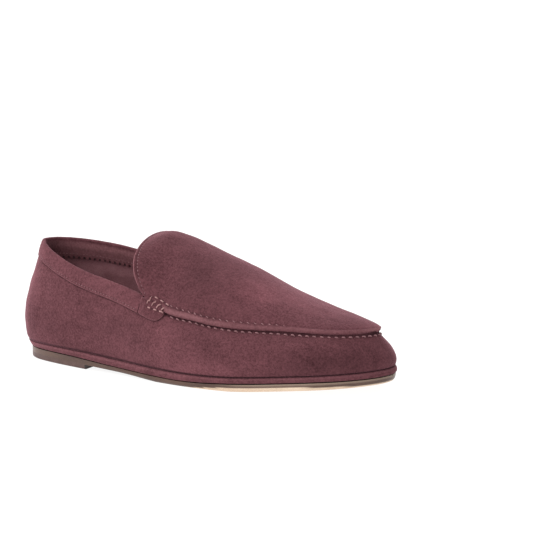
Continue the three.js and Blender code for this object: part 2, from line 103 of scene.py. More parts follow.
def unit(v):
    return v / np.linalg.norm(v, axis=-1, keepdims=True)


def mix(a, b, t):
    return a + (b - a) * t


def smooth(low, high, value):
    t = np.clip((np.asarray(value, float) - low) / (high - low), 0, 1)
    return t * t * (3 - 2 * t)


def same_shape(*values):
    return np.broadcast_arrays(*(np.asarray(v, float) for v in values))


def hump(value, centre, width):
    """1 at the centre, falling off softly to either side."""
    return np.exp(-(((value - centre) / width) ** 2))


def closed_spline(rows, turn):
    """A closed uniform cubic B-spline through rows of numbers. turn runs from 0 to 1 round the shoe."""
    place = np.mod(turn, 1.0) * len(rows)
    first = np.floor(place).astype(int)
    t = (place - first)[..., None]
    weights = ((1 - t) ** 3, 3 * t**3 - 6 * t**2 + 4, -3 * t**3 + 3 * t**2 + 3 * t + 1, t**3)
    return sum(w * rows[(first - 1 + k) % len(rows)] for k, w in enumerate(weights)) / 6


def open_spline(rows, share):
    """A Catmull-Rom spline through rows of numbers. share runs from 0 to 1."""
    rows = np.vstack([2 * rows[0] - rows[1], rows, 2 * rows[-1] - rows[-2]])
    spans = len(rows) - 3
    first = np.minimum((share * spans).astype(int), spans - 1)
    t = (share * spans - first)[..., None]
    a, b, c, d = (rows[first + k] for k in range(4))
    return 0.5 * (2 * b + (c - a) * t + (2 * a - 5 * b + 4 * c - d) * t**2 + (3 * b - a - 3 * c + d) * t**3)


def side_row(station, side):
    """x, y, feather, rise, lean, low and high of a station on its outer side, 0, or its inner side, 1."""
    x, outer, inner, feather_z, rise_outer, rise_inner, lean_outer, lean_inner, low, high = station
    return (x, (-outer, inner)[side], feather_z, (rise_outer, rise_inner)[side],
            (lean_outer, lean_inner)[side], low, high)


OUTLINE = np.array([side_row(s, 0) for s in STATIONS] + [side_row(s, 1) for s in STATIONS[-2:0:-1]], float)


def outline(turn):
    """The outline's numbers at a turn, and the outward direction in plan."""
    turn = np.asarray(turn, float)
    step = 1e-4
    along = unit((closed_spline(OUTLINE, turn + step) - closed_spline(OUTLINE, turn - step))[..., :2])
    return closed_spline(OUTLINE, turn), np.stack([along[..., 1], -along[..., 0]], -1)


def rise(turn):
    return outline(turn)[0][..., 3]


FEATHER_TABLE = closed_spline(OUTLINE, np.linspace(0, 0.5, 400))


def feather(x):
    """Height of the feather line at a place x along the foot."""
    return np.interp(x, FEATHER_TABLE[:, 0], FEATHER_TABLE[:, 2])


def above(height):
    return lambda x: feather(x) + height


def outline_point(turn, out, height):
    """Points out mm outside the outline, at the height that height(x) gives."""
    q, outward = outline(turn)
    plan = q[..., :2] + outward * np.asarray(out, float)[..., None]
    return np.concatenate([plan, np.asarray(height(plan[..., 0]))[..., None]], -1)


def wall(turn, up, off=0.0, past=0.0):
    """Points on the side wall: up from 0 at the feather line to 1 at the top edge, off outside the last."""
    turn, up, off, past = same_shape(turn, up, off, past)
    q, outward = outline(turn)
    low, high, lean, height = q[..., 5], q[..., 6], q[..., 4], q[..., 3]
    down = 1 - up
    b, c, d = 3 * down**2 * up, 3 * down * up**2, up**3
    db, dc, dd = 3 * down * (down - 2 * up), 3 * up * (2 * down - up), 3 * up**2
    slope = unit(np.stack([db * low + dc * high - dd * lean, height * (db * 0.36 + dc * 0.74 + dd)], -1))
    out = b * low + c * high - d * lean + off * slope[..., 1] + past * slope[..., 0]
    z = q[..., 2] + height * (b * 0.36 + c * 0.74 + d) - off * slope[..., 0] + past * slope[..., 1]
    return np.concatenate([q[..., :2] + outward * out[..., None], z[..., None]], -1)


def below(turn, depth):
    """How far up the wall the place is that lies depth mm below its top edge."""
    return 1 - depth / rise(turn)


TIP = wall(0.5, 1)
APRON_ROWS = np.array([*APRON, (0.5, 0, TIP[1], TIP[2] + GAP, 0.5)])
APRON_LAST = 0.985  # beyond this share of its length the apron's rows are too short for a normal


def apron_edge(turn):
    return wall(turn, 1, APRON_LIP) + (0, 0, GAP)


def apron_base(along, across):
    """The apron's underside: along from the tongue's free edge to the toe, across from the outer edge."""
    along, across = same_shape(along, across)
    turn, back, y, z, full = np.moveaxis(open_spline(APRON_ROWS, along), -1, 0)
    outer, inner = apron_edge(turn), apron_edge(1 - turn)
    crown = np.stack([(outer[..., 0] + inner[..., 0]) / 2 - back, y, z], -1)
    middle = (8 * crown - outer - inner) / 6
    reach = (outer - inner) * (full / 2)[..., None]
    t = across[..., None]
    b, c = 3 * (1 - t) ** 2 * t, 3 * (1 - t) * t**2
    return (1 - t) ** 3 * outer + b * (middle + reach) + c * (middle - reach) + t**3 * inner


def apron_normal(along, across):
    along, across = same_shape(along, across)
    step = 1e-3
    ahead = np.minimum(along + step, APRON_LAST)
    behind = np.minimum(np.maximum(along - step, 0), APRON_LAST - step)
    right, left = np.minimum(across + step, 1), np.maximum(across - step, 0)
    level = np.minimum(along, APRON_LAST)
    forward = apron_base(ahead, across) - apron_base(behind, across)
    inward = apron_base(level, right) - apron_base(level, left)
    return unit(np.cross(forward, inward))


def apron(along, across, off):
    return apron_base(along, across) + apron_normal(along, across) * np.asarray(off, float)[..., None]


def ripple(points, size, seed):
    """A smooth random height between about -1 and 1 that changes over size mm."""
    rng = np.random.default_rng(seed)
    count = 9
    waves = unit(rng.normal(size=(count, 3))) * rng.uniform(0.7, 1.4, (count, 1)) * 2 * math.pi / size
    phases = rng.uniform(0, 2 * math.pi, count)
    return np.sin(points @ waves.T + phases).mean(-1) * 1.8


# ---------- Making meshes ----------

def add_object(name, data):
    thing = bpy.data.objects.new(name, data)
    bpy.context.scene.collection.objects.link(thing)
    return thing


def make_piece(name, points, faces, material, slot, nodes, sharp=None):
    """A mesh from points in mm on the last, shaded smooth, riding on the shoe in place of its CAD nodes.

    sharp is the angle in degrees above which an edge isn't shaded smooth.
    """
    mesh = bpy.data.meshes.new(name)
    mesh.from_pydata(((points + SHIFT) * MM).tolist(), [], faces)
    mesh.validate()
    mesh.polygons.foreach_set("use_smooth", [True] * len(mesh.polygons))
    if sharp is not None:
        mesh.set_sharp_from_angle(angle=math.radians(sharp))
    mesh.materials.append(material)
    piece = add_object(name, mesh)
    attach(piece, "root")
    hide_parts(*nodes)
    return piece


def ring_faces(rings, count, closed):
    """Quads between rings of count points. closed joins the last ring to the first."""
    ring = np.arange(rings if closed else rings - 1)[:, None]
    point = np.arange(count)[None, :]
    a, b = ring * count + point, ring * count + (point + 1) % count
    after = (ring + 1) % rings
    c, d = after * count + (point + 1) % count, after * count + point
    return np.stack(np.broadcast_arrays(a, b, c, d), -1).reshape(-1, 4).tolist()


def sheet(outer, inner, closed=False):
    """Points and faces of a sheet between two grids of rows of points. Its edges are closed."""
    rows, columns = outer.shape[:2]
    count = 2 * columns
    points = np.concatenate([outer, inner[:, ::-1]], 1).reshape(-1, 3)
    faces = ring_faces(rows, count, closed)
    if not closed:
        last = (rows - 1) * count
        for k in range(columns - 1):
            faces.append([k, k + 1, count - 2 - k, count - 1 - k][::-1])
            faces.append([last + i for i in (k, k + 1, count - 2 - k, count - 1 - k)])
    return outward(points, faces)


def end_caps(rings, count):
    """The faces that close the first and the last ring."""
    return [list(range(count))[::-1], [(rings - 1) * count + k for k in range(count)]]


def join(bodies):
    """Points and faces of several bodies as one."""
    points, faces = [], []
    first = 0
    for made, sides in bodies:
        points.append(made)
        faces += [[first + k for k in side] for side in sides]
        first += len(made)
    return np.concatenate(points), faces


def outward(points, faces):
    """The same faces, turned so that they look out of the closed body."""
    fans = np.array([(f[0], f[k], f[k + 1]) for f in faces for k in range(1, len(f) - 1)])
    a, b, c = (points[fans[:, k]] for k in range(3))
    volume = np.einsum("ij,ij->i", a, np.cross(b, c)).sum()
    return points, faces if volume > 0 else [f[::-1] for f in faces]


def ease(count, pack):
    """Numbers from 0 to 1 that lie closer together near both ends, by pack."""
    t = np.linspace(0, 1, count)
    return t - pack * np.sin(2 * math.pi * t) / (2 * math.pi)


def edge_round(distance, radius):
    """Share of the full thickness at a distance from a rounded edge."""
    thinnest = 0.985  # keeps a little thickness at the very edge
    t = np.clip(1 - np.asarray(distance, float) / radius, 0, thinnest)
    return np.sqrt(1 - t * t)


def distance_to(points, line):
    """How far each point lies from the nearest one of a line of points, and which one that is."""
    batch = 4000  # points looked at together, to save memory
    flat = points.reshape(-1, 3)
    near, place = np.empty(len(flat)), np.empty(len(flat), int)
    for k in range(0, len(flat), batch):
        gaps = np.linalg.norm(flat[k:k + batch, None] - line[None], axis=-1)
        place[k:k + batch] = gaps.argmin(1)
        near[k:k + batch] = gaps.min(1)
    return near.reshape(points.shape[:-1]), place.reshape(points.shape[:-1])


def lengths(line):
    """How far along a line of points each of them lies."""
    return np.concatenate([[0], np.cumsum(np.linalg.norm(np.diff(line, axis=0), axis=-1))])


def along_line(at, run, rows):
    """The rows of three numbers at distances along a line."""
    return np.stack([np.interp(at, run, rows[:, axis]) for axis in range(3)], -1)


def tube(path, outward_way, radius, sides=8):
    """Points and faces of a round thread along a path, thinner at both ends."""
    segments = len(path)
    cross = unit(np.cross(unit(np.gradient(path, axis=0)), outward_way))
    angle = np.linspace(0, 2 * math.pi, sides, endpoint=False)[None, :, None]
    ring = cross[:, None] * np.cos(angle) + outward_way[:, None] * np.sin(angle)
    thick = radius * (1 - 0.3 * np.abs(np.linspace(-1, 1, segments)) ** 4)
    faces = ring_faces(segments, sides, False) + end_caps(segments, sides)
    return (path[:, None] + ring * thick[:, None, None]).reshape(-1, 3), faces


def stitches(name, line, normals, pitch, node, material, radius, lift, share=0.62, slant=0.0):
    """Short threads laid end to end along a line of points on leather, each dipping in at both ends.

    A stitch stands lift high, takes up a share of the pitch, and leans slant to either side of the line.
    """
    run = lengths(line)
    count = int(run[-1] / pitch)
    t = np.linspace(-1, 1, 9)
    dip = lift + radius * 0.2 - (radius * 1.5 + lift) * np.abs(t) ** 3.5
    threads = []
    for k in range(count):
        start = (k + (1 - share) / 2) * run[-1] / count
        at = np.linspace(start, start + share * run[-1] / count, len(t))
        path = along_line(at, run, line)
        normal = unit(along_line(at, run, normals))
        side = unit(np.cross(unit(np.gradient(path, axis=0)), normal))
        path = path + normal * dip[:, None] + side * (slant * t)[:, None]
        threads.append(tube(path, normal, radius, 7))
    make_piece(name, *join(threads), material, "thread", [node])


# ---------- Materials ----------

class Nodes:
    """A short way to build a material's node tree."""

    def __init__(self, name):
        self.material = bpy.data.materials.new(name)
        self.material.use_nodes = True
        self.tree = self.material.node_tree
        self.shader = self.tree.nodes["Principled BSDF"]
        self.place = self.add("ShaderNodeTexCoord").outputs["Object"]

    def add(self, kind, **values):
        node = self.tree.nodes.new(kind)
        for key, value in values.items():
            setattr(node, key, value)
        return node

    def link(self, source, target):
        self.tree.links.new(source, target)

    def feed(self, socket, value):
        """Gives a socket a number, a colour in sRGB numbers or another node's output."""
        if isinstance(value, (int, float)):
            socket.default_value = value
        elif isinstance(value, tuple):
            socket.default_value = (*linear(value), 1)
        else:
            self.link(value, socket)

    def fill(self, node, **inputs):
        """Feeds a node's inputs by name."""
        for name, value in inputs.items():
            self.feed(node.inputs[name.replace("_", " ")], value)
        return node

    def noise(self, size_mm, detail, stretch=(1, 1, 1), roughness=0.55):
        """Noise whose blots are about size_mm across."""
        mapping = self.fill(self.add("ShaderNodeMapping"), Vector=self.place)
        mapping.inputs["Scale"].default_value = [s / (size_mm * MM) for s in stretch]
        noise = self.fill(self.add("ShaderNodeTexNoise"), Scale=1.0, Detail=detail, Roughness=roughness,
                          Vector=mapping.outputs[0])
        return noise.outputs["Fac"]

    def math(self, operation, a, b):
        node = self.add("ShaderNodeMath", operation=operation)
        for socket, value in zip(node.inputs, (a, b)):
            self.feed(socket, value)
        return node.outputs[0]

    def total(self, *parts):
        """The sum of sockets, each times its weight."""
        first, *others = (self.math("MULTIPLY", socket, weight) for socket, weight in parts)
        for amount in others:
            first = self.math("ADD", first, amount)
        return first

    def ramp(self, factor, low, high, dark, light):
        """Dark where the factor is below low, light where it is above high."""
        node = self.add("ShaderNodeValToRGB")
        for element, position, colour in zip(node.color_ramp.elements, (low, high), (dark, light)):
            element.position = position
            element.color = (*linear(colour), 1)
        self.link(factor, node.inputs[0])
        return node.outputs[0]

    def blend(self, factor, a, b, kind="MIX"):
        node = self.add("ShaderNodeMix", data_type="RGBA", blend_type=kind)
        for place, value in ((0, factor), (6, a), (7, b)):  # the inputs for colours
            self.feed(node.inputs[place], value)
        return node.outputs[2]

    def attribute(self, name):
        return self.add("ShaderNodeAttribute", attribute_name=name).outputs["Fac"]

    def shade(self, colour, dark, share=0.85):
        """The colour, darkened where shade is painted into the piece's shade layer."""
        return self.blend(self.math("MULTIPLY", self.attribute("painted_shade"), share), colour, dark)

    def bump(self, heights):
        """Bump from (height, size in mm) pairs, one after the other."""
        normal = {}
        for height, depth in heights:
            node = self.add("ShaderNodeBump")
            self.fill(node, Distance=depth * MM, Strength=1.0, Height=height, **normal)
            normal = {"Normal": node.outputs[0]}
        self.fill(self.shader, **normal)

    def set(self, **values):
        """Sets the shader's inputs by name."""
        self.fill(self.shader, **values)
        return self.material


def linear(colour):
    """sRGB numbers from 0 to 255 as linear ones."""
    c = np.array(colour) / 255
    return tuple(np.where(c <= 0.04045, c / 12.92, ((c + 0.055) / 1.055) ** 2.4))


def suede_finish():
    """Napped suede: fine fibres, soft blots where the nap lies differently, and edges painted lighter,
    partly rubbed wear and partly painted highlight.
    """
    n = Nodes("suede")
    blots = n.noise(24, 2, stretch=(0.8, 1, 1))
    strokes = n.noise(6, 3, stretch=(0.7, 1, 1.2))
    grain = n.noise(1.5, 3, roughness=0.7)
    fibre = n.noise(0.6, 2, roughness=0.7)
    tone = n.total((blots, 0.16), (strokes, 0.13), (grain, 0.42), (fibre, 0.29))
    colour = n.ramp(tone, 0.38, 0.62, (68, 38, 42), (113, 70, 76))
    # The colour is scaled by soft painted patches: partly nap that lies differently, partly painted light
    # and shade.
    colour = n.blend(1.0, colour, n.math("ADD", n.attribute("nap_and_painted_light"), 1.0), "MULTIPLY")
    # Lighter where the rim layer is painted: partly rubbed wear, partly painted highlight.
    wear_and_highlight = n.math("MULTIPLY", n.attribute("rim"), n.math("ADD", grain, 0.3))
    colour = n.blend(wear_and_highlight, colour, (150, 104, 108))
    n.bump([(strokes, 0.2), (grain, 0.3), (fibre, 0.16)])
    return n.set(Base_Color=n.shade(colour, (34, 16, 20)), Roughness=0.95, Specular_IOR_Level=0.1,
                 Sheen_Weight=0.3, Sheen_Roughness=0.4, Sheen_Tint=(255, 179, 195))


def lining_finish():
    """Smooth leather with fine pores."""
    n = Nodes("lining_leather")
    tone = n.noise(18, 3)
    pores = n.noise(0.9, 3, roughness=0.6)
    colour = n.ramp(n.total((tone, 0.6), (pores, 0.4)), 0.38, 0.62, (122, 80, 85), (154, 108, 114))
    n.bump([(pores, 0.06)])
    return n.set(Base_Color=n.shade(colour, (16, 9, 10)), Roughness=0.55, Specular_IOR_Level=0.35)


def thread_finish(name, dark, light):
    """Twisted, waxed thread."""
    n = Nodes(name)
    fibre = n.noise(0.25, 2)
    patches = n.noise(9, 2)
    tone = n.total((fibre, 0.5), (patches, 0.5))
    n.bump([(fibre, 0.08)])
    return n.set(Base_Color=n.ramp(tone, 0.35, 0.65, dark, light), Roughness=0.6,
                 Specular_IOR_Level=0.4, Sheen_Weight=0.15)


def sole_finish():
    """Sole leather, natural or stained dark as the stain layer says."""
    n = Nodes("sole_leather")
    tone = n.noise(14, 4, stretch=(0.5, 1, 1))
    pores = n.noise(0.5, 3)
    both = n.total((tone, 0.55), (pores, 0.45))
    natural = n.ramp(both, 0.35, 0.65, (206, 176, 150), (236, 214, 190))
    stained = n.ramp(both, 0.35, 0.65, (66, 43, 35), (95, 68, 55))
    stain = n.attribute("stain")
    n.bump([(pores, 0.05)])
    return n.set(Base_Color=n.blend(stain, natural, stained), Specular_IOR_Level=0.5,
                 Roughness=n.math("SUBTRACT", 0.62, n.math("MULTIPLY", stain, 0.3)))


def heel_finish(name, roughness):
    """Dark heel edge. The two layers differ only in how they shine."""
    n = Nodes(name)
    tone = n.noise(6, 4)
    fine = n.noise(0.4, 2)
    both = n.total((tone, 0.6), (fine, 0.4))
    colour = n.ramp(both, 0.36, 0.64, (71, 50, 46), (96, 71, 65))
    n.bump([(fine, 0.04)])
    return n.set(Base_Color=n.shade(colour, (34, 20, 16), 0.8), Roughness=roughness, Specular_IOR_Level=0.4)


def granular(name, dark, light, size, depth):
    """Cork, foam and pressed fibre board: grains of one size over a soft tone."""
    n = Nodes(name)
    cells = n.fill(n.add("ShaderNodeTexVoronoi", feature="F1"), Scale=1 / (size * MM), Vector=n.place)
    grain = cells.outputs["Distance"]
    tone = n.noise(size * 8, 3)
    both = n.total((grain, 0.5), (tone, 0.6))
    n.bump([(grain, depth)])
    return n.set(Base_Color=n.ramp(both, 0.3, 0.8, dark, light), Roughness=0.9,
                 Specular_IOR_Level=0.2)


def steel_finish():
    n = Nodes("steel")
    lines = n.noise(0.6, 2, stretch=(0.08, 1, 1))
    n.bump([(lines, 0.02)])
    return n.set(Base_Color=n.ramp(lines, 0.35, 0.65, (128, 130, 134), (172, 174, 178)),
                 Metallic=1.0, Roughness=0.38)


SUEDE_FINISH = suede_finish()
LINING_FINISH = lining_finish()
THREAD = thread_finish("thread", (122, 80, 84), (158, 112, 116))
TAB_THREAD = thread_finish("tab_thread", (150, 104, 104), (186, 142, 140))
FINE_THREAD = thread_finish("fine_thread", (112, 72, 77), (144, 100, 105))
SOLE = sole_finish()
HEEL = heel_finish("heel_leather", 0.45)
HEEL_RUBBER = heel_finish("heel_rubber", 0.55)
CORK = granular("cork", (120, 84, 54), (196, 156, 112), 1.6, 0.2)
BOARD = granular("insole_board", (150, 122, 90), (200, 172, 136), 0.7, 0.05)
STIFF_BOARD = granular("stiffener_board", (176, 162, 140), (220, 210, 192), 0.5, 0.04)
FOAM = granular("foam", (196, 184, 164), (236, 228, 212), 0.5, 0.08)
STEEL = steel_finish()


def paint(piece, name, values):
    """Stores a number for each vertex, which the materials read."""
    layer = piece.data.attributes.new(name, "FLOAT", "POINT")
    layer.data.foreach_set("value", np.asarray(values, float).ravel())


def paint_sheet(piece, name, outer, inner):
    """The same for a sheet, from a grid of numbers for its outer side and one for its inner side."""
    outer, inner = np.broadcast_arrays(outer, inner)
    paint(piece, name, np.concatenate([outer, inner[:, ::-1]], 1))


def paint_both(piece, name, values):
    paint_sheet(piece, name, values, values)


# ---------- Upper ----------

APRON_START, APRON_END = CORNER, 1 - CORNER
SEAM_PITCH = 4.8


def from_back(turn):
    """How many turns a place lies from the seam at the back of the heel."""
    turn = np.mod(turn, 1.0)
    return np.minimum(turn, 1 - turn)


def from_corner(turn):
    """How many turns a place lies in front of the apron's nearer corner."""
    return from_back(turn) - CORNER


def lip_width(turn):
    """Distance from the apron's edge to the stitches along it."""
    return mix(3.4, 2.4, smooth(0.05, 0.19, from_corner(turn))) - 0.5 * sag(turn)


def sag(turn):
    """How much further the apron's edge hangs over the wall just in front of the tab."""
    place = from_corner(turn)
    return 1.9 * smooth(0.016, 0.026, place) * (1 - smooth(0.026, 0.062, place))


def prow(turn):
    """1 at the toe's tip, where the apron's edge turns up, and 0 along the sides."""
    return smooth(0.245, 0.28, from_corner(turn))


# Soft patches painted lighter, or darker where the share is below 0: partly nap that lies differently,
# partly painted light and shade. Each has place and reach, each in two directions, and by how much.
# The directions are turns from the back and up on the wall, along and across on the apron.
WALL_NAP_AND_LIGHT = (
    (0.275, 0.12, 0.06, 0.22, 0.42),
    (0.24, 0.55, 0.018, 0.25, 0.2),
    (0.19, 0.45, 0.03, 0.28, -0.14),
    (0.35, 0.35, 0.014, 0.25, 0.12),
    (0.42, 0.3, 0.05, 0.3, -0.32),
    (0.04, 0.68, 0.03, 0.12, 0.14),
    (0.03, 0.12, 0.06, 0.16, -0.13),
)
APRON_NAP_AND_LIGHT = (
    (0.45, 0.32, 0.07, 0.13, 0.42),
    (0.55, 0.4, 0.13, 0.2, 0.34),
    (0.28, 0.24, 0.05, 0.12, -0.26),
    (0.06, 0.45, 0.08, 0.16, -0.2),
    (0.05, 0.08, 0.08, 0.08, 0.2),
    (0.82, 0.4, 0.07, 0.4, -0.13),
)


def nap_and_painted_light(patches, first, second):
    """How much lighter a place is painted, as a share: partly nap, partly painted light and shade."""
    return sum(share * hump(first, a, wide) * hump(second, b, high) for a, b, wide, high, share in patches)


def turned_in_edge(turns):
    """Outer and inner face of the wall's lower margin, which is turned in under the shoe."""
    bend = 1.7  # radius of the fold
    margin = np.linspace(9, bend, 5)[None]
    outer = [outline_point(turns, -margin, above(0.0))]
    inner = [outline_point(turns, -margin, above(SUEDE))]
    for angle in np.radians((25, 50, 72)):
        for face, radius in ((outer, bend), (inner, bend - SUEDE)):
            out = -bend + radius * math.sin(angle)
            face.append(outline_point(turns, out, above(bend - radius * math.cos(angle))))
    return outer, inner


def side_wall():
    """One piece of suede from the back seam round the toe, its lower margin turned in."""
    turns = np.linspace(0, 1, 600, endpoint=False)[:, None]
    outer, inner = turned_in_edge(turns)
    ups = np.concatenate([np.linspace(0.035, 0.9, 52), np.linspace(0.91, 0.999, 12)])[None]
    rises = rise(turns)
    depth = (1 - ups) * rises
    place = wall(turns, ups)
    from_seam = from_back(turns) * OUTLINE_LENGTH
    waves = (0.35 * ripple(place, 38, 3) + 0.16 * ripple(place, 14, 4)) * smooth(0.03, 0.2, ups)
    pulled = smooth(0.0, 0.03, turns - APRON_START) * smooth(0.0, 0.03, APRON_END - turns)
    run = turns * OUTLINE_LENGTH / SEAM_PITCH
    under_lip = depth - sag(turns)
    puckers = pulled * (0.16 * np.cos(2 * math.pi * run) - 0.3) * hump(under_lip, 1, 1.6)
    seam = -0.55 * hump(from_seam, 0, 0.9)
    under_binding = from_back(turns) < TOPLINE_TURN
    skived = 1 - 0.5 * under_binding * (1 - smooth(1, 7, depth))
    thick = SUEDE / 2 * skived * edge_round(depth, 0.45)
    middle = -SUEDE / 2 * skived + (waves + puckers + seam) * smooth(0, 1.5, depth + 0.4)
    sewn = smooth(-0.003, 0.002, from_corner(turns)) * (1 - smooth(0, 2.2, depth))
    flare, raised = mix(0.9, 0.1, prow(turns)) * sewn, mix(0.9, 1.9, prow(turns)) * sewn
    outer.append(wall(turns, ups, middle + thick + flare, raised))
    inner.append(wall(turns, ups, middle - thick + flare, raised))
    outer, inner = np.concatenate(outer, 1), np.concatenate(inner, 1)
    piece = make_piece("side_wall_suede", *sheet(outer, inner, True), SUEDE_FINISH, "suede", ["side_wall"])

    # Painted shade: dark under the apron's lip, below the binding's lower edge, round the tabs, in the
    # groove above the rand, under the turned-up tip, along the back seam and on the turned-in margin.
    painted_shade = 0.6 * pulled * hump(under_lip, 1.3, 0.7)
    painted_shade += 0.7 * under_binding * hump(depth, BINDING_DEPTH + 0.3, 0.45)
    for side in (1, -1):
        from_tab, _ = distance_to(place, tab_outline(side))
        painted_shade += 0.75 * hump(from_tab, 0, 0.7)
    painted_shade += 0.6 * hump(depth, rises, 0.8)
    painted_shade += 0.7 * prow(turns) * hump(depth, 0, 1.8)
    painted_shade += 0.4 * hump(from_seam, 0, 0.4)
    margin = np.zeros((len(turns), outer.shape[1] - ups.shape[1]))
    paint_both(piece, "painted_shade", np.concatenate([margin + 0.8, painted_shade], 1))
    # Soft patches painted lighter or darker: partly nap that lies differently, partly painted light and
    # shade.
    paint_sheet(piece, "nap_and_painted_light", np.concatenate([margin, nap_and_painted_light(WALL_NAP_AND_LIGHT, from_back(turns), ups)], 1), 0)


def apron_grid():
    """Where the apron's vertices lie: along and across, and their distance to its sewn edge."""
    rows = np.concatenate([ease(150, 0.75) * APRON_LAST, [0.991, 0.996]])[:, None]
    columns = ease(110, 0.85)[None]
    base = apron_base(rows, columns)
    edge_turns = np.linspace(APRON_START, APRON_END, 900)
    edge = apron_edge(edge_turns)
    distance, place = distance_to(base, edge)
    return rows, columns, base, distance, lengths(edge)[place], edge_turns[place]


def apron_suede():
    """Apron and tongue in one piece. Its sewn edge stands up as a lip with a stitched groove inside it."""
    rows, columns, base, distance, run, turn = apron_grid()
    from_tongue = np.linalg.norm(base - base[:1], axis=-1)
    wave = np.cos(2 * math.pi * run / SEAM_PITCH)
    front = smooth(0.05, 0.12, from_corner(turn))
    turned_up = prow(turn)
    width = lip_width(turn)
    free = smooth(0.014, 0.03, from_corner(turn))
    crest = free * hump(distance, 0.4 * width, 0.34 * width)
    lip = mix(0.5, 0.3, front) * crest
    groove = -(0.34 + 0.16 * wave) * mix(1, 0.6, front) * hump(distance, width, 0.7)
    fade = smooth(3, 12, from_tongue)
    folds = 0.4 * ripple(base, 30, 8) + 0.15 * ripple(base, 12, 9)
    worn = hump(rows, 0.45, 0.09) * hump(columns, 0.36, 0.14)
    folds = folds + 0.2 * worn * np.sin(2 * math.pi * (base[..., 0] + 0.6 * base[..., 1]) / 9)
    bottom = folds * smooth(3, 14, distance) * smooth(2, 14, from_tongue)
    puckers = 0.1 * wave * hump(distance, 1.5, 1.5) * free
    hem = -0.3 * hump(from_tongue, 2.7, 0.6) * smooth(1.5, 4, distance)
    top = SUEDE + (lip + groove + puckers) * fade + bottom + hem
    rounding = np.minimum(edge_round(distance, mix(0.9, 2.4, turned_up)), edge_round(from_tongue, 0.7))
    middle = (top + bottom) / 2
    half = (top - bottom) / 2 * rounding
    down = unit(wall(turn, below(turn, 2.0)) - wall(turn, 1))
    hang = mix(mix(1.3, 0.3, smooth(0.19, 0.275, from_corner(turn))), -1.2, turned_up)
    reach = hang * hump(distance, 0, 1.4) + sag(turn) * hump(distance, 0, 2.4)
    outward_way = unit(wall(turn, 1, 1.0) - wall(turn, 1))
    curl = outward_way * (mix(0.75, 1.9, turned_up) * hump(distance, 0, 1.2))[..., None]
    droop = (down * reach[..., None] - curl) * smooth(1, 8, from_tongue)[..., None]
    outer = apron(rows, columns, middle + half) + droop
    inner = apron(rows, columns, middle - half) + droop
    piece = make_piece("apron_suede", *sheet(outer, inner), SUEDE_FINISH, "suede", ["apron"])
    # Painted shade in the stitched groove and along the tongue's hem.
    painted_shade = mix(0.5, 0.25, front) * hump(distance, width, 0.45) * fade
    painted_shade = painted_shade + 0.3 * hump(from_tongue, 1.8, 0.35) * smooth(1.5, 4, distance)
    # Lighter along the lip's crest, the tongue's edge and the turned-up tip: partly rubbed wear, partly
    # painted highlight.
    rim = mix(0.6, 0.32, front) * crest * fade
    rim = rim + 0.9 * hump(from_tongue, 0, 0.4) + 0.7 * turned_up * hump(distance, 0, 3.5)
    paint_sheet(piece, "painted_shade", painted_shade, 0)
    paint_both(piece, "rim", rim)
    # Soft patches painted lighter or darker: partly nap, partly painted light and shade.
    paint_sheet(piece, "nap_and_painted_light", nap_and_painted_light(APRON_NAP_AND_LIGHT, rows, columns), 0)


def lining(name, outer, inner, node):
    return make_piece(name, *sheet(outer, inner), LINING_FINISH, "lining_leather", [node])


def wall_lining(name, turns, ups, off, node):
    thick = LINING / 2 * edge_round((1 - ups) * rise(turns) + 0.1, 0.4)
    return lining(name, wall(turns, ups, off + thick), wall(turns, ups, off - thick), node)


def linings():
    """The heel opening's lining, which meets the wall above the stiffener, and the two in front of it."""
    low = WALL_INSIDE - STIFFENER - GAP - LINING / 2
    high = WALL_INSIDE - LINING / 2
    turns = np.linspace(-CORNER, CORNER, 260)[:, None]
    ups = np.linspace(0.05, 0.9, 84)[None]
    clear = np.maximum(smooth(0.6, 0.73, ups), smooth(0.12, 0.17, np.abs(turns)))
    off = mix(low, high, clear) + 0.15 * ripple(wall(turns, ups), 20, 21)
    piece = wall_lining("quarter_lining_leather", turns, ups, off, "quarter_lining")
    depth = (1 - ups) * rise(turns)
    # Painted shade: dark behind the binding's notches and inside the back of the heel.
    notches = smooth(FACING_DEPTH - PINK_DEPTH - 0.8, FACING_DEPTH - PINK_DEPTH, depth)
    notches = notches * (1 - smooth(FACING_DEPTH - 0.2, FACING_DEPTH + 0.4, depth))
    dark = np.maximum(0.9 * notches, 0.6 * (1 - smooth(0.03, 0.1, np.abs(turns))))
    paint_both(piece, "painted_shade", dark)
    turns = np.linspace(CORNER + 0.001, 1 - CORNER - 0.001, 320)[:, None]
    ups = np.linspace(0.05, 0.93, 30)[None]
    wall_lining("vamp_lining_leather", turns, ups, low, "vamp_lining")
    rows = ease(90, 0.6)[:, None] * 0.87 + 0.006
    columns = np.linspace(0.1, 0.9, 60)[None]
    outer, inner = (apron(rows, columns, off) for off in (-GAP, -GAP - LINING))
    lining("apron_lining_leather", outer, inner, "apron_lining")


PINK_PITCH = 3.8  # the notches' distance
PINK_DEPTH = 2.3
TAB_START = CORNER - 0.0055  # the tab begins where the binding ends
TOPLINE_TURN = TAB_START - 0.0008


def topline(count, off, depth):
    """Turns that divide the topline evenly by length."""
    turns = np.linspace(-TOPLINE_TURN, TOPLINE_TURN, 2000)
    run = lengths(wall(turns, below(turns, depth), off))
    return np.interp(np.linspace(0, run[-1], count), run, turns), run[-1]


